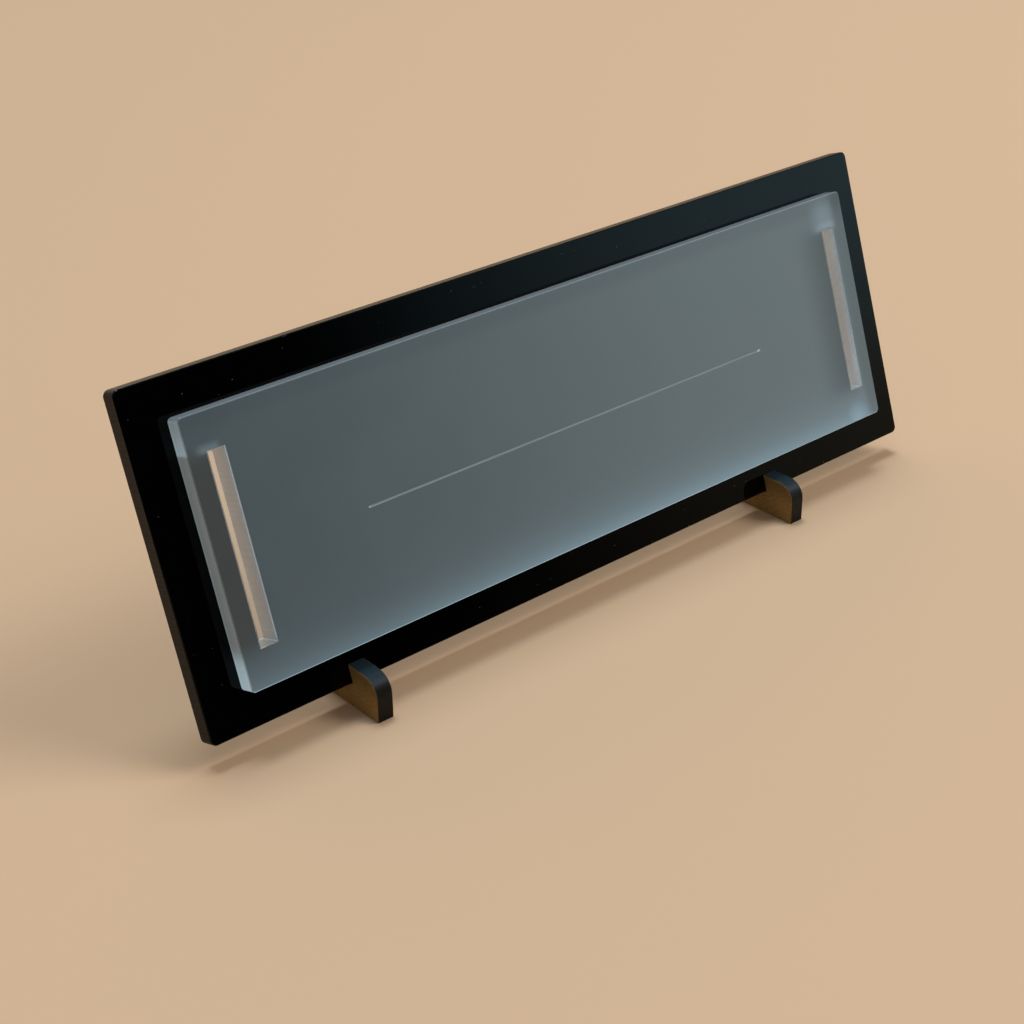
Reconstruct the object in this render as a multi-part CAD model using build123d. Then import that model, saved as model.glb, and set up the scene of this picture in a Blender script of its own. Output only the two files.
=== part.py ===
from build123d import *
from math import cos, radians, sin
import os

# Desk name plate of laser-cut acrylic sheet, in millimetres and degrees.
# +Z is up, +X runs along the sign, and the sign faces -Y and leans back.
# The origin is on the table, under the middle of the sign's length and of the feet.

# Back plate
plate_width = 150.0
plate_height = 52.4
plate_thickness = 3.0
plate_corner = 1.0
lean_angle = 19.0

# Front plate, centred on the back plate with an even border
end_border = 6.8
long_border = 5.9
front_thickness = 3.0
front_corner = 0.7

# Engraved rule across the front plate, just under its middle
rule_length = 84.0
rule_width = 0.35
rule_depth = 0.15
rule_drop = 1.3

# Key bars, strips on edge that pass through both plates, flush in front and a little proud behind
key_thickness = 3.0
key_length = 29.3
key_inset = 3.1
key_tail = 0.7
key_clearance = 0.05

# Feet, each slotted for the back plate's lower edge
foot_length = 30.0
foot_height = 7.0
foot_thickness = 3.0
foot_round = 3.0
nose_depth = 6.0
slot_web = 3.15
slot_clearance = 0.05
left_foot_place = -49.0
right_foot_place = 41.0

# Sheet edges are very slightly broken, and cuts run past what they cut
edge_break = 0.15
overrun = 1.0

# The sign's own frame: its origin is the middle of the back plate's lower front edge,
# its x runs along the sign, its y up the face and its z out of the front
lean = radians(lean_angle)
seat_y = nose_depth - foot_length / 2
seat_z = slot_web + (plate_thickness + slot_clearance) * sin(lean)
sign_frame = Plane(origin=(0, seat_y, seat_z), x_dir=(1, 0, 0), z_dir=(0, -cos(lean), sin(lean)))

front_width = plate_width - 2 * end_border
front_height = plate_height - 2 * long_border
key_place = front_width / 2 - key_inset - key_thickness / 2
plate_middle = plate_height / 2


def sheet_panel(width, height, corner, thickness):
    """Round-cornered panel that stands on the origin, with both outlines slightly broken."""
    panel = extrude(RectangleRounded(width, height, corner), amount=thickness)
    outlines = panel.faces().filter_by(Axis.Z).edges()
    return chamfer(outlines, edge_break)


def key_slots(thickness):
    """Two upright slots, one near each end, that clear the key bars by the key clearance."""
    slot_width = key_thickness + 2 * key_clearance
    slot_length = key_length + 2 * key_clearance
    places = [Pos(-key_place, 0), Pos(key_place, 0)]
    outlines = Sketch() + [place * Rectangle(slot_width, slot_length) for place in places]
    return Pos(0, 0, -overrun) * extrude(outlines, amount=thickness + 2 * overrun)


def back_plate():
    """Black panel behind the sign, whose lower edge stands in the feet."""
    panel = sheet_panel(plate_width, plate_height, plate_corner, plate_thickness)
    panel -= key_slots(plate_thickness)
    return Pos(0, plate_middle, -plate_thickness) * panel


def front_plate():
    """Frosted panel that lies flush on the back plate, with the rule engraved in its face."""
    panel = sheet_panel(front_width, front_height, front_corner, front_thickness)
    panel -= key_slots(front_thickness)
    rule = extrude(SlotOverall(rule_length, rule_width), amount=-rule_depth)
    panel -= Pos(0, -rule_drop, front_thickness) * rule
    return Pos(0, plate_middle, 0) * panel


def key_bar(place):
    """Clear strip that fills one pair of slots, flush with the front and proud of the back."""
    depth = plate_thickness + front_thickness + key_tail
    middle = front_thickness - depth / 2
    bar = Box(key_thickness, key_length, depth)
    return Pos(place, plate_middle, middle) * chamfer(bar.edges(), edge_break)


def foot(place):
    """Low rounded foot on edge, with the leaning slot open at its top."""
    side = Pos(0, foot_height / 2) * Rectangle(foot_length, foot_height)
    side = fillet(side.vertices().group_by(Axis.Y)[-1], foot_round)
    blank = extrude(Plane.YZ * side, amount=foot_thickness / 2, both=True)
    slot_depth = foot_height / cos(lean)
    slot_width = plate_thickness + 2 * slot_clearance
    slot = Box(foot_thickness + 2 * overrun, slot_depth, slot_width)
    blank -= sign_frame.location * Pos(0, slot_depth / 2, -plate_thickness / 2) * slot
    outlines = blank.faces().filter_by(Axis.X).edges()
    return Pos(place, 0, 0) * chamfer(outlines, edge_break)


pieces = {
    "back_plate": sign_frame.location * back_plate(),
    "front_plate": sign_frame.location * front_plate(),
    "left_key_bar": sign_frame.location * key_bar(-key_place),
    "right_key_bar": sign_frame.location * key_bar(key_place),
    "left_foot": foot(left_foot_place),
    "right_foot": foot(right_foot_place),
}

os.makedirs("parts", exist_ok=True)
for name, piece in pieces.items():
    export_step(piece, f"parts/{name}.step")
    size = piece.bounding_box().size
    print(f"{name}: {piece.volume:.1f} mm3, {size.X:.2f} x {size.Y:.2f} x {size.Z:.2f} mm")
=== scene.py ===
# %% [markdown]
# # A desk name plate in acrylic
# The sign is cut from acrylic sheet 3 mm thick: a glossy black back plate, a frosted front plate,
# two clear key bars that hold the plates together, and two feet. The shapes come from the CAD frame
# and are right as they are, so this lesson is about camera, light and finishes.

# %% Load the CAD frame
import bpy
from math import cos, degrees, radians, sin
from mathutils import Matrix, Vector

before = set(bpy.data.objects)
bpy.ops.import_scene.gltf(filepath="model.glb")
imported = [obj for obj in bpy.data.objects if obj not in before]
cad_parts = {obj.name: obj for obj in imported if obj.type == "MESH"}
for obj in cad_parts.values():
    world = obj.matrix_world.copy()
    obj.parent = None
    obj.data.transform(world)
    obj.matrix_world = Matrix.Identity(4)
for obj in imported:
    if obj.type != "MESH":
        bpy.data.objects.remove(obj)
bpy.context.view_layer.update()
print("pieces:", ", ".join(sorted(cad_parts)))

# %% [markdown]
# ## The sign's own directions
# The sign leans back, so heights on its face aren't heights above the table. The lean could be typed
# in, but it can also be read from the CAD: the largest flat face of the front plate points straight
# out of the sign. A second direction runs along the sign, and a third one up its face.

# %% Read the lean
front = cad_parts["front_plate"].data
out_way = max(front.polygons, key=lambda face: face.area).normal.copy()
if out_way.y > 0:
    out_way.negate()
along_way = Vector((1, 0, 0))
up_way = out_way.cross(along_way).normalized()
reader_way = Vector((0, -1, 0))
print(f"the sign leans back {degrees(out_way.angle(reader_way)):.1f} degrees")

# %% [markdown]
# ## Sizes that the finishes need
# With these directions, every point of the sign gets a plain place in millimetres, measured from the
# middle of the front plate's face. The sizes could be copied from the drawing. Measured on the CAD
# meshes, they follow the shapes by themselves.

# %% Measure the front plate and the key bars
MM = 1000.0


def reach(node, way):
    """Lowest and highest place of a CAD node along one direction, in millimetres."""
    places = [vertex.co.dot(way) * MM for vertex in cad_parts[node].data.vertices]
    return min(places), max(places)


def middle(span):
    """Place halfway between the ends of a span."""
    return (span[0] + span[1]) / 2


def half(span):
    """Half the length of a span."""
    return (span[1] - span[0]) / 2


plate_along = reach("front_plate", along_way)
plate_up = reach("front_plate", up_way)
face_out = reach("front_plate", out_way)[1]
face_middle = (along_way * middle(plate_along) + up_way * middle(plate_up) + out_way * face_out) / MM
half_width = half(plate_along)
half_height = half(plate_up)
bar_in, bar_far = reach("right_key_bar", along_way)
bar_middle = middle((bar_in, bar_far))
half_bar = half(reach("right_key_bar", up_way))
print(f"front plate {2 * half_width:.1f} x {2 * half_height:.1f} mm, bars {2 * half_bar:.1f} mm high")

# %% [markdown]
# ## Camera
# The photograph is taken from in front and to the left, looking down at the sign. A camera could be
# placed by eye, but here the straight edges of both plates gave its place, its turn and its lens. The
# small roll is that of a camera held by hand.

# %% Place the camera
camera_place = (-0.18630, -0.20523, 0.16321)
look_down = radians(28.783)
look_right = radians(40.464)
roll = radians(-0.777)
lens = 67.51
sensor = 36.0
nearest_seen = 0.01

bpy.ops.object.select_all(action="DESELECT")
bpy.ops.object.camera_add(location=camera_place)
camera = bpy.context.object
camera.name = "photo_camera"
turn = (
    Matrix.Rotation(-look_right, 3, "Z")
    @ Matrix.Rotation(radians(90) - look_down, 3, "X")
    @ Matrix.Rotation(roll, 3, "Z")
)
camera.rotation_euler = turn.to_euler()
camera.data.sensor_width = sensor
camera.data.lens = lens
camera.data.clip_start = nearest_seen
bpy.context.scene.camera = camera
print(f"camera {camera.location.length * MM:.0f} mm from the origin, lens {lens} mm")

# %% [markdown]
# ## Table
# The photograph is taken on warm tan paper without any shine. One large sheet could do for it, but the
# black face would mirror the paper in front of it, while in the photograph it mirrors a dark room. So
# the floor is two sheets of the same paper, and mirrors don't see the one in front.


# %% Make the paper
def new_finish(name):
    """Material with a Principled BSDF; gives the material, its tree and the shader's inputs."""
    material = bpy.data.materials.new(name)
    material.use_nodes = True
    return material, material.node_tree, material.node_tree.nodes["Principled BSDF"].inputs


paper_colour = (0.525, 0.331, 0.201, 1)
paper_roughness = 0.9
paper, _, shader = new_finish("pale_paper")
shader["Base Color"].default_value = paper_colour
shader["Roughness"].default_value = paper_roughness
shader["Specular IOR Level"].default_value = 0.0
print("paper of the floor, without shine")

# %% Lay the floor
floor_size = 2.4
paper_front = -0.15


def floor_sheet(name, near, far):
    """Flat sheet on the ground, from near to far along Y."""
    bpy.ops.object.select_all(action="DESELECT")
    bpy.ops.mesh.primitive_plane_add(size=1.0, location=(0, (near + far) / 2, 0))
    sheet = bpy.context.object
    sheet.name = name
    sheet.scale = (floor_size, far - near, 1)
    bpy.ops.object.transform_apply(location=True, rotation=True, scale=True)
    sheet.data.materials.append(paper)
    return sheet


floor_sheet("floor", paper_front, floor_size / 2)
floor_sheet("floor_in_front", -floor_size / 2, paper_front).visible_glossy = False
print(f"floor {floor_size} m wide, in two sheets")

# %% [markdown]
# ## Light
# Soft daylight comes from high behind the sign and a little from the right. It gives most of the light
# and draws the soft dark band on the table in front of the sign. A smaller window at the front right
# fills that band and lights the face. A picture of a real sky could do both at once, but two square
# lights are easier to turn, move and dim one by one.

# %% Set up the soft lights
sign_middle = Vector((0, 0, 0.03))
sky_colour = (0.667, 0.846, 1.0)
window_colour = (0.86, 0.92, 0.95)
window_right = 52


def direction(right, above):
    """Unit vector that points to the right of the sign's front by one angle, and up by another."""
    right, above = radians(right), radians(above)
    return Vector((sin(right) * cos(above), -cos(right) * cos(above), sin(above)))


def softbox(name, way, distance, size, watts, colour):
    """Square area light, some metres off along a way, that faces the sign."""
    bpy.ops.object.light_add(type="AREA", location=sign_middle + distance * way)
    light = bpy.context.object
    light.name = name
    light.data.size = size
    light.data.energy = watts
    light.data.color = colour
    light.rotation_euler = (sign_middle - light.location).to_track_quat("-Z", "Y").to_euler()
    print(f"{name}: {watts} W from {distance} m")


sky_way = direction(160, 72)
window_way = direction(window_right, 46)
softbox("sky_light", sky_way, distance=8.0, size=3.0, watts=590.0, colour=sky_colour)
softbox("window_light", window_way, distance=1.4, size=0.7, watts=11.4, colour=window_colour)

# %% [markdown]
# ## Node helpers
# The room and every finish below are small nets of shader nodes. These helpers add a node and wire it
# in one line, so that a cell reads like a recipe.


# %% Helpers that add and wire nodes
def wire(tree, socket, value):
    """Link an output into an input, or set the input to a plain value."""
    if isinstance(value, bpy.types.NodeSocket):
        tree.links.new(value, socket)
    else:
        socket.default_value = value


def add(tree, kind, inputs=None, **settings):
    """Add a node with its settings, and wire its inputs, given by name or number."""
    node = tree.nodes.new(kind)
    for name, value in settings.items():
        setattr(node, name, value)
    for key, value in (inputs or {}).items():
        wire(tree, node.inputs[key], value)
    return node


print("node helpers: wire and add")


# %% Helpers that measure and mix
def dot(tree, first, second):
    """Dot product of two vectors."""
    product = add(tree, "ShaderNodeVectorMath", {0: first, 1: second}, operation="DOT_PRODUCT")
    return product.outputs["Value"]


def step(tree, value, start, end, low=0.0, high=1.0):
    """Smooth change from low, where value is at start, to high, where it is at end."""
    ends = {"Value": value, "From Min": start, "From Max": end, "To Min": low, "To Max": high}
    return add(tree, "ShaderNodeMapRange", ends, interpolation_type="SMOOTHSTEP").outputs["Result"]


def mix(tree, share, first, second):
    """Colour that goes from first to second as share goes from 0 to 1."""
    return add(tree, "ShaderNodeMix", {0: share, 6: first, 7: second}, data_type="RGBA").outputs[2]


print("node helpers: dot, step and mix")

# %% [markdown]
# ## The room in the mirror
# Glossy acrylic shows the room around it. Furniture and walls could be modelled, but only their tones
# can be seen in the sign, so the room is drawn as colours that depend on the direction alone: dark in
# front, a cool glow on the right that turns brown near the ground, dim above, and a pale wall behind.

# %% Draw the room that the acrylic mirrors
dark_front = (0.008, 0.008, 0.009, 1)
glow_near_ground = (0.44, 0.37, 0.25, 1)
glow_higher = (0.82, 1.30, 1.46, 1)
dim_above = (0.27, 0.30, 0.33, 1)
pale_wall = (0.66, 0.555, 0.40, 1)

scene = bpy.context.scene
scene.view_settings.view_transform = "Standard"
world = bpy.data.worlds.new("room")
scene.world = world
world.use_nodes = True
air = world.node_tree
look = add(air, "ShaderNodeTexCoord").outputs["Generated"]
height = add(air, "ShaderNodeSeparateXYZ", {0: look}).outputs["Z"]
to_glow = dot(air, look, direction(60, 6))
to_wall = dot(air, look, direction(180, 20))
glow = mix(air, step(air, height, -0.02, 0.13), glow_near_ground, glow_higher)
room = mix(air, step(air, to_glow, 0.87, 0.985), dark_front, glow)
room = mix(air, step(air, height, 0.2, 0.55), room, dim_above)
room = mix(air, step(air, to_wall, 0.5, 0.85), room, pale_wall)
print(f"room drawn with {len(air.nodes)} nodes")

# %% [markdown]
# ## The backdrop
# The camera itself doesn't see that room. It sees air in the tone of the paper, brighter towards the
# window as the paper is, so that the floor's far edge hardly shows when the view is low.

# %% Draw the backdrop that the camera sees
away_low = (0.49, 0.362, 0.241, 1)
away_high = (0.61, 0.458, 0.312, 1)
window_low = (0.645, 0.475, 0.315, 1)
window_high = (0.70, 0.52, 0.35, 1)

higher = step(air, height, -0.1, 0.25)
away = mix(air, higher, away_low, away_high)
towards = mix(air, higher, window_low, window_high)
to_window = dot(air, look, direction(window_right, 0))
backdrop = mix(air, step(air, to_window, -0.8, 1.0), away, towards)
camera_looks = add(air, "ShaderNodeLightPath").outputs["Is Camera Ray"]
wire(air, air.nodes["Background"].inputs["Color"], mix(air, camera_looks, room, backdrop))
print(f"room and backdrop drawn with {len(air.nodes)} nodes")

# %% [markdown]
# ## Places on the sign, as a node group
# Several finishes need the place on the sign in millimetres, so it is a node group with three outputs.
# It could start from the place in the room, but it starts from Object coordinates, which stay on the
# piece when the piece moves.


# %% Build the place group
def new_group(name, inputs, outputs):
    """Node group whose outputs are numbers; gives the group and the sockets to read and to fill."""
    group = bpy.data.node_groups.new(name, "ShaderNodeTree")
    for socket, kind in inputs.items():
        group.interface.new_socket(socket, in_out="INPUT", socket_type=kind)
    for socket in outputs:
        group.interface.new_socket(socket, in_out="OUTPUT", socket_type="NodeSocketFloat")
    print(f"{name} gives", ", ".join(outputs))
    given = group.nodes.new("NodeGroupInput").outputs
    return group, given, group.nodes.new("NodeGroupOutput").inputs


ways = {"Along": along_way, "Up": up_way, "Out": out_way}
place_group, _, place_out = new_group("Place on the sign", {}, ways)
point = add(place_group, "ShaderNodeTexCoord").outputs["Object"]
from_face = {0: point, 1: face_middle}
offset = add(place_group, "ShaderNodeVectorMath", from_face, operation="SUBTRACT").outputs["Vector"]
for name, way in ways.items():
    wire(place_group, place_out[name], dot(place_group, offset, way * MM))

# %% [markdown]
# ## Laser-cut edges, as a node group
# A laser leaves the faces of a sheet as they were and its cut edges satin, with fine lines that run
# straight through the thickness. Edges could get a material of their own, face by face. The group
# finds them by their direction instead, since they stand square to the sheet, and draws the lines as
# noise of one dimension that runs along the edge.


# %% Build the cut-edge group
def calc(tree, operation, *values):
    """Output of a Math node."""
    return add(tree, "ShaderNodeMath", dict(enumerate(values)), operation=operation).outputs[0]


edge_group, edge_in, edge_out = new_group(
    "Laser-cut edge",
    {"Sheet way": "NodeSocketVector", "Along edge": "NodeSocketFloat"},
    ["Edge", "Lines"],
)
normal = add(edge_group, "ShaderNodeTexCoord").outputs["Normal"]
flatness = calc(edge_group, "ABSOLUTE", dot(edge_group, normal, edge_in["Sheet way"]))
wire(edge_group, edge_out["Edge"], step(edge_group, flatness, 0.85, 0.4))
line_noise = {"W": edge_in["Along edge"], "Scale": 3.2, "Detail": 3.0, "Roughness": 0.65}
lines = add(edge_group, "ShaderNodeTexNoise", line_noise, noise_dimensions="1D")
wire(edge_group, edge_out["Lines"], lines.outputs["Fac"])

# %% [markdown]
# ## Handling marks, as a node group
# Polished acrylic pulls dust and keeps a faint film from fingers. Dust could be scattered as tiny
# meshes, but it is too fine for that: it is drawn as small cells of a Voronoi texture, of which a
# random few are kept. Hairlines are the same cells stretched into strokes, and the film is a wide soft
# noise that only changes the roughness.

# %% Start the handling-marks group
marks_group, marks_in, marks_out = new_group(
    "Handling marks", {"Face place": "NodeSocketVector"}, ["Dust", "Hairlines", "Film"]
)
on_plate = marks_in["Face place"]


def times(tree, *values):
    """Product of several values."""
    product = values[0]
    for value in values[1:]:
        product = calc(tree, "MULTIPLY", product, value)
    return product


def kept_cells(place, scale, radius, share):
    """Round spots at a random few of a Voronoi texture's cells."""
    grid = {"Vector": place, "Scale": scale}
    cells = add(marks_group, "ShaderNodeTexVoronoi", grid, voronoi_dimensions="2D").outputs
    pick = add(marks_group, "ShaderNodeSeparateColor", {"Color": cells["Color"]}).outputs
    spots = step(marks_group, cells["Distance"], radius, 0.4 * radius)
    kept = calc(marks_group, "LESS_THAN", pick["Red"], share)
    return times(marks_group, spots, kept, pick["Green"])


# %% Draw dust, hairlines and film
dust_shift = {"Vector": on_plate, "Location": (31.0, 17.0, 0)}
dust_place = add(marks_group, "ShaderNodeMapping", dust_shift).outputs["Vector"]
dust = kept_cells(dust_place, scale=0.35, radius=0.032, share=0.22)
wire(marks_group, marks_out["Dust"], dust)

stroke_turn = {"Vector": on_plate, "Rotation": (0, 0, radians(27)), "Scale": (0.12, 1.4, 1.0)}
stroke_place = add(marks_group, "ShaderNodeMapping", stroke_turn).outputs["Vector"]
hairlines = kept_cells(stroke_place, scale=0.6, radius=0.04, share=0.08)
wire(marks_group, marks_out["Hairlines"], hairlines)

film_noise = {"Vector": on_plate, "Scale": 0.06, "Detail": 4.0}
film = add(marks_group, "ShaderNodeTexNoise", film_noise).outputs["Fac"]
wire(marks_group, marks_out["Film"], step(marks_group, film, 0.35, 0.7))
print(f"handling marks drawn with {len(marks_group.nodes)} nodes")

# %% [markdown]
# ## Black acrylic
# The back plate is black sheet, as glossy as glass on its faces and satin on its cut edges. It could be
# a dark grey with a strong shine, but real black sheet shows almost nothing of itself. So it gets next
# to no colour and lives by what it mirrors, and only its edges catch a soft brown-grey from the table.


# %% Start the black finish with edges and marks
def use_group(tree, group, inputs=None):
    """Place a node group in a tree; gives its outputs."""
    return add(tree, "ShaderNodeGroup", inputs, node_tree=group).outputs


def sign_sheet(tree):
    """Places on the sign, and the cut edges of a plate or a bar."""
    place = use_group(tree, place_group)
    along_edge = calc(tree, "ADD", place["Along"], place["Up"])
    return place, use_group(tree, edge_group, {"Sheet way": out_way, "Along edge": along_edge})


def face_marks(tree, place):
    """Flat place on the face, and the handling marks there."""
    flat = add(tree, "ShaderNodeCombineXYZ", {0: place["Along"], 1: place["Up"]}).outputs["Vector"]
    return flat, use_group(tree, marks_group, {"Face place": flat})


black, tree, shader = new_finish("black_plate")
place, cut = sign_sheet(tree)
_, marks = face_marks(tree, place)
on_face = calc(tree, "SUBTRACT", 1.0, cut["Edge"])
dust = times(tree, marks["Dust"], on_face)
hairlines = times(tree, marks["Hairlines"], on_face)
print("black finish: cut edges, dust and hairlines")

# %% Colour of the black sheet
face_black = (0.0006, 0.0006, 0.0007, 1)
edge_black = (0.003, 0.0022, 0.0015, 1)
dust_grey = (0.14, 0.13, 0.12, 1)
hairline_grey = (0.06, 0.06, 0.06, 1)

colour = mix(tree, cut["Edge"], face_black, edge_black)
colour = mix(tree, dust, colour, dust_grey)
wire(tree, shader["Base Color"], mix(tree, hairlines, colour, hairline_grey))
print("black finish: colour")


# %% Helpers for sheen and relief
def between(tree, share, first, second):
    """Value that goes from first to second as share goes from 0 to 1."""
    return add(tree, "ShaderNodeMix", {0: share, 2: first, 3: second}).outputs[0]


def facing(tree, way, start, end):
    """0 to 1 as the surface turns towards a way, between two cosines of the angle."""
    normal = add(tree, "ShaderNodeTexCoord").outputs["Normal"]
    return step(tree, dot(tree, normal, way), start, end)


def satin(tree, cut, low, high):
    """Roughness of a cut edge, which changes with the lines of the laser."""
    return step(tree, cut["Lines"], 0.3, 0.7, low, high)


def emboss(tree, shader, height, strength, depth):
    """Fine relief that is at most as deep as the depth, in metres."""
    relief = {"Height": height, "Strength": strength, "Distance": depth}
    wire(tree, shader["Normal"], add(tree, "ShaderNodeBump", relief).outputs["Normal"])


print("finish helpers: between, facing, satin and emboss")

# %% Sheen of the black sheet
ACRYLIC_IOR = 1.49
black_shine = 0.16
cut_depth = 0.0002


def dress(material, *nodes):
    """Give CAD nodes one finish all over."""
    for node in nodes:
        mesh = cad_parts[node].data
        mesh.materials.clear()
        mesh.materials.append(material)
    print(material.name, "on", ", ".join(nodes))


polish = step(tree, marks["Film"], 0.0, 1.0, 0.02, 0.06)
upper_edge = facing(tree, up_way, 0.6, 0.9)
edge_satin = times(tree, satin(tree, cut, 0.42, 0.54), between(tree, upper_edge, 1.0, 0.72))
rough = between(tree, cut["Edge"], polish, edge_satin)
wire(tree, shader["Roughness"], calc(tree, "ADD", rough, times(tree, dust, 0.4)))
emboss(tree, shader, times(tree, cut["Lines"], cut["Edge"]), strength=0.1, depth=cut_depth)
shader["IOR"].default_value = ACRYLIC_IOR
shader["Specular IOR Level"].default_value = black_shine
dress(black, "back_plate")

# %% [markdown]
# ## Feet
# The feet show matte brown faces, warm against the black, with edges that the laser left dark and
# smooth. One flat brown could do, but at this size it would look like painted metal. So the faces get a
# short fibrous grain, and a painted shade darkens them towards the top, where the plate always stands
# over them. The edges get the same satin lines as the plate, and a painted cool sheen of the sky where
# they face up.

# %% Start the finish of the feet with edges and grain
foot_sheet, tree, shader = new_finish("foot_sheet")
point = add(tree, "ShaderNodeTexCoord").outputs["Object"]
in_mm = {0: point, "Scale": MM}
foot_place = add(tree, "ShaderNodeVectorMath", in_mm, operation="SCALE").outputs["Vector"]
parts = add(tree, "ShaderNodeSeparateXYZ", {0: foot_place}).outputs
along_edge = calc(tree, "ADD", parts["Y"], parts["Z"])
cut = use_group(tree, edge_group, {"Sheet way": along_way, "Along edge": along_edge})

fibre_stretch = {"Vector": foot_place, "Scale": (1.0, 0.5, 3.0)}
fibre_place = add(tree, "ShaderNodeMapping", fibre_stretch).outputs["Vector"]
fibre_noise = {"Vector": fibre_place, "Scale": 2.2, "Detail": 5.0}
fibre = add(tree, "ShaderNodeTexNoise", fibre_noise).outputs["Fac"]
print("foot finish: cut edges and fibrous grain")

# %% Colour of the feet
brown_dark = (0.224, 0.130, 0.040, 1)
brown_light = (0.358, 0.215, 0.072, 1)
brown_in_shade = (0.095, 0.049, 0.011, 1)
edge_dark = (0.005, 0.004, 0.003, 1)
painted_sky_sheen = (0.007, 0.015, 0.020, 1)
straight_up = (0, 0, 1)

brown = mix(tree, step(tree, fibre, 0.3, 0.7), brown_dark, brown_light)
# painted shade: the brown darkens towards the top, where the plate stands over the foot and keeps light
# off
brown = mix(tree, step(tree, parts["Z"], 2.5, 6.8, 0.0, 0.6), brown, brown_in_shade)
# painted sheen: edges that face up get a cool, lighter colour for the sky they reflect
edge_colour = mix(tree, facing(tree, straight_up, 0.6, 0.95), edge_dark, painted_sky_sheen)
wire(tree, shader["Base Color"], mix(tree, cut["Edge"], brown, edge_colour))
print("foot finish: colour")

# %% Sheen and grain of the feet
face_roughness = 0.62
foot_shine = 0.15
edge_satin = satin(tree, cut, 0.38, 0.48)
wire(tree, shader["Roughness"], between(tree, cut["Edge"], face_roughness, edge_satin))
grain = between(tree, cut["Edge"], fibre, times(tree, cut["Lines"], 0.4))
emboss(tree, shader, grain, strength=0.1, depth=cut_depth)
shader["IOR"].default_value = ACRYLIC_IOR
shader["Specular IOR Level"].default_value = foot_shine
dress(foot_sheet, "left_foot", "right_foot")

# %% [markdown]
# ## Frosted acrylic
# The front plate is clear sheet with a frosted face over the black plate, so it reads as a matte
# blue-grey. Light that gets into the sheet travels inside it and comes out wherever it meets an edge:
# the outer edges are pale, and a soft glow lies along the lower edge and at the ends of the slots. A
# slot stops that light, which leaves a darker strip beside it. A solid that scatters light could show
# all that, but only with a lot of noise, so here the light in the sheet is painted by its place. Places
# are millimetres on the sign, and shares run from 0 to 1.

# %% Start the frosted finish with places and marks
frosted, tree, shader = new_finish("frosted_plate")
place, cut = sign_sheet(tree)
along, up, out = place["Along"], place["Up"], place["Out"]
face_place, marks = face_marks(tree, place)
from_middle = calc(tree, "ABSOLUTE", along)
slot_blur = 2.0
beside_bar = step(tree, calc(tree, "ABSOLUTE", up), half_bar + slot_blur, half_bar - slot_blur)


def spot(along_mm, up_mm, radius):
    """Soft round spot, 1 in its middle and 0 at its radius, in millimetres."""
    ends = {0: face_place, 1: (along_mm, up_mm, 0)}
    away = add(tree, "ShaderNodeVectorMath", ends, operation="DISTANCE").outputs["Value"]
    return step(tree, away, radius, 0.0)


print("frosted finish: places, cut edges and marks")

# %% [markdown]
# The face is painted in layers. The field, the plate's own blue-grey, gets painted light that brightens
# it towards the window. Over it come the painted shade beside the slots and along the rim, then the
# small painted halos of light over the slots, and last the painted glow of the lower edge.

# %% Field of the frosted face
field_left = (0.070, 0.095, 0.108, 1)
field_right = (0.162, 0.203, 0.218, 1)
# painted light: the field brightens from the left end towards the window on the right
field = mix(tree, step(tree, along, -95.0, 62.0), field_left, field_right)
print("frosted finish: field")

# %% Shade beside the slots and along the rim
shade_right = (0.03, 0.034, 0.034, 1)
shade_left = (0.053, 0.056, 0.055, 1)
shade_rim = (0.03, 0.036, 0.036, 1)

near_right_bar = step(tree, along, bar_in - 8.0, bar_in)
inside_right_bar = calc(tree, "LESS_THAN", along, bar_middle)
outside_left_bar = calc(tree, "LESS_THAN", along, -bar_middle)
shades = [
    (times(tree, near_right_bar, inside_right_bar, beside_bar, 0.44), shade_right),
    (times(tree, outside_left_bar, beside_bar, 0.9), shade_left),
    (step(tree, along, bar_far - 0.2, bar_far + 1.2, 0.0, 0.22), shade_rim),
    (step(tree, up, half_height - 3.6, half_height - 1.4, 0.0, 0.14), shade_rim),
    (times(tree, spot(half_width - 1.5, half_height - 1.0, 5.0), 0.3), shade_rim),
]
colour = field
for share, shade in shades:
    colour = mix(tree, share, colour, shade)
print(f"frosted finish: {len(shades)} shades")

# %% Halos at the upper ends of the slots
halo_colour = (0.36, 0.475, 0.56, 1)
over_bar = step(tree, up, half_bar - 0.7, half_bar + 0.3)
halo_right = times(
    tree,
    over_bar,
    step(tree, along, bar_in - 3.2, bar_in + 0.8),
    step(tree, along, bar_far + 1.6, bar_far - 1.0),
    step(tree, up, half_bar + 1.6, half_bar + 0.5, 0.36, 0.62),
    step(tree, up, half_height, half_height - 2.6, 0.2, 1.0),
)
halo_left = times(
    tree,
    over_bar,
    step(tree, along, -bar_far - 2.2, -bar_far - 0.3),
    step(tree, along, -bar_in - 0.2, -bar_in - 1.8),
    step(tree, up, half_bar + 1.6, half_bar + 0.2, 0.0, 0.32),
)
colour = mix(tree, calc(tree, "MAXIMUM", halo_right, halo_left), colour, halo_colour)
print("frosted finish: two halos")

# %% Glow of the lower edge
glow_colour = (0.39, 0.59, 0.73, 1)
glow_depth = 2.8
from_bottom = calc(tree, "ADD", up, half_height)
fade = calc(tree, "EXPONENT", calc(tree, "DIVIDE", from_bottom, -glow_depth))
to_window = step(tree, along, -75.0, 20.0, 0.24, 0.5)
to_end = step(tree, along, bar_far + 1.8, bar_far - 0.4, 0.25, 1.0)
low_glow = times(tree, fade, to_window, to_end)
under_right_bar = times(tree, spot(bar_middle - 1.0, -half_height, 5.6), 0.66)
colour = mix(tree, calc(tree, "MAXIMUM", low_glow, under_right_bar), colour, glow_colour)
print(f"frosted finish: glow that falls to about a third every {glow_depth} mm")

# %% [markdown]
# The rule is engraved a little into the face, and engraving leaves the frost whiter. It could be a
# painted line, but the CAD has a real groove, so the floor of the groove is found by its depth. Both of
# its ends, where the laser starts and stops, are paler still.

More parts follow.
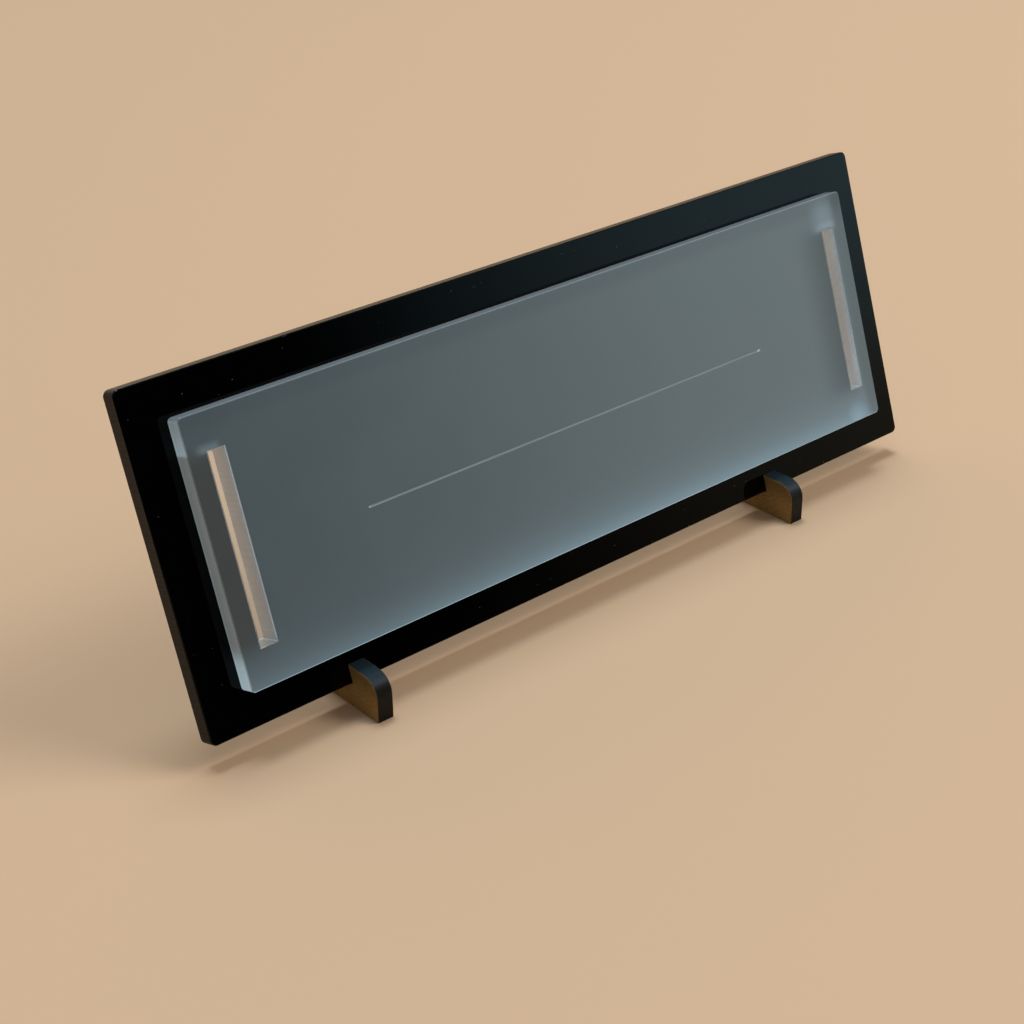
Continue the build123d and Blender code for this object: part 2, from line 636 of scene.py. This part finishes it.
# %% Measure the engraved rule
deepest, shallowest = -0.5, -0.05
groove = []
for vertex in front.vertices:
    corner = (vertex.co - face_middle) * MM
    near_middle = abs(corner.dot(up_way)) < half_height / 2
    if near_middle and deepest < corner.dot(out_way) < shallowest:
        groove.append(corner)
rule_half = max(abs(corner.dot(along_way)) for corner in groove)
rule_up = sum(corner.dot(up_way) for corner in groove) / len(groove)
print(f"rule {2 * rule_half:.2f} mm long, {-rule_up:.2f} mm under the middle of the face")

# %% Colour of the engraved rule
rule_middle = (0.335, 0.38, 0.375, 1)
rule_start = (0.46, 0.51, 0.50, 1)
rule_stop = (0.82, 0.90, 0.885, 1)

in_rule = times(
    tree,
    step(tree, out, -0.02, -0.06),
    step(tree, calc(tree, "ABSOLUTE", calc(tree, "SUBTRACT", up, rule_up)), 0.4, 0.3),
    calc(tree, "LESS_THAN", from_middle, rule_half + 1.0),
)
rule_ends = mix(tree, step(tree, along, -rule_half, rule_half), rule_start, rule_stop)
at_end = step(tree, from_middle, rule_half - 0.8, rule_half - 0.3)
colour = mix(tree, in_rule, colour, mix(tree, at_end, rule_middle, rule_ends))
print("frosted finish: rule")

# %% [markdown]
# The outer edges come last. The left edge shows the light that has travelled the whole plate, except
# beside the slot, where it is stopped. The upper edge, where light goes in, is a dull grey. What comes
# out of an edge is light, so a little of it is emission, far weaker than a lamp.

# %% Colour of the edges
painted_edge_glow = (0.60, 0.72, 0.80, 1)
edge_dull = (0.215, 0.216, 0.209, 1)
dust_grey = (0.3, 0.3, 0.3, 1)

off_rule = calc(tree, "SUBTRACT", 1.0, in_rule)
on_edge = times(tree, cut["Edge"], off_rule)
# painted light: edges other than the upper one are pale with the light that leaves the sheet there
edge_colour = mix(tree, facing(tree, up_way, 0.1, 0.6), painted_edge_glow, edge_dull)
colour = mix(tree, on_edge, colour, edge_colour)
colour = mix(tree, times(tree, marks["Dust"], 0.3), colour, dust_grey)
wire(tree, shader["Base Color"], colour)
print("frosted finish: colour of the edges and dust")

# %% Light that leaves the left edge
on_left_side = step(tree, along, -half_width + 1.5, -half_width + 0.5)
outer_left = times(tree, facing(tree, along_way, -0.5, -0.9), on_left_side)
stopped = times(
    tree,
    step(tree, up, half_bar + 0.4, half_bar - 0.2),
    step(tree, up, -half_bar - slot_blur, -half_bar + slot_blur),
)
let_through = calc(tree, "MAXIMUM", calc(tree, "SUBTRACT", 1.0, stopped), 0.14)
top_end = step(tree, up, half_height, half_bar, 0.22, 0.54)
low_end = step(tree, up, -half_bar + 3.0, -half_height)
rear_rim = step(tree, out, -2.2, -2.8, 0.0, 0.2)
left_light = times(tree, let_through, between(tree, low_end, top_end, 0.9))
left_light = times(tree, outer_left, calc(tree, "ADD", left_light, rear_rim))
print("frosted finish: light of the left edge")

# %% Light that leaves the lower edge and the slots
edge_light = (0.19, 0.29, 0.34, 1)
no_light = (0, 0, 0, 1)

faces_down = facing(tree, up_way, -0.4, -0.7)
low_light = times(tree, faces_down, step(tree, along, -20.0, 60.0, 1.5, 0.65))
at_slots = step(tree, from_middle, bar_far + 1.0, bar_far + 0.5)
slot_light = times(tree, cut["Edge"], beside_bar, at_slots, 0.3)
light = calc(tree, "MAXIMUM", calc(tree, "MAXIMUM", left_light, low_light), slot_light)
light = times(tree, light, off_rule)
wire(tree, shader["Emission Color"], mix(tree, light, no_light, edge_light))
shader["Emission Strength"].default_value = 1.0
print("frosted finish: light of the lower edge and the slots")

# %% Sheen and grain of the frosted finish
frost_depth = 0.00005
matte = step(tree, marks["Film"], 0.0, 1.0, 0.42, 0.50)
upper_edge = facing(tree, up_way, 0.4, 0.7)
edge_satin = times(tree, satin(tree, cut, 0.22, 0.27), between(tree, upper_edge, 1.0, 0.55))
wire(tree, shader["Roughness"], between(tree, on_edge, matte, edge_satin))
frost_noise = {"Vector": face_place, "Scale": 9.0, "Detail": 2.0}
frost = add(tree, "ShaderNodeTexNoise", frost_noise).outputs["Fac"]
emboss(tree, shader, between(tree, on_edge, frost, cut["Lines"]), strength=0.04, depth=frost_depth)
shader["IOR"].default_value = ACRYLIC_IOR
dress(frosted, "front_plate")

# %% [markdown]
# ## Clear acrylic
# The key bars are clear strips on edge. Seen from the front, a bar is a small window through both
# plates: part of it shows the bright table behind, and the rest shows its own side wall, which is
# duller where the bar rubs in its slot. Painting that view would hold from one side only, so the bar is
# real glass in the shader, smooth at its ends and rough on its long sides. It also takes a trace of
# cool light from the frosted plate, most of it low on the window's side, as a faint emission.

# %% Make the clear finish
clear_colour = (0.94, 0.965, 0.99, 1)
end_roughness = 0.04
clear, tree, shader = new_finish("clear_bar")
place, cut = sign_sheet(tree)
side_satin = satin(tree, cut, 0.56, 0.64)
wire(tree, shader["Roughness"], between(tree, cut["Edge"], end_roughness, side_satin))
shader["Base Color"].default_value = clear_colour
shader["Transmission Weight"].default_value = 1.0
shader["IOR"].default_value = ACRYLIC_IOR
print("clear finish: glass with rough sides")

# %% Trace of light in the bars
faint_trace = (0.002, 0.006, 0.010, 1)
low_trace = (0.024, 0.032, 0.038, 1)
to_low_end = step(tree, place["Up"], 0.0, -half_bar)
right_bar = calc(tree, "GREATER_THAN", place["Along"], 0.0)
trace = mix(tree, times(tree, to_low_end, right_bar), faint_trace, low_trace)
wire(tree, shader["Emission Color"], trace)
shader["Emission Strength"].default_value = 1.0
dress(clear, "left_key_bar", "right_key_bar")
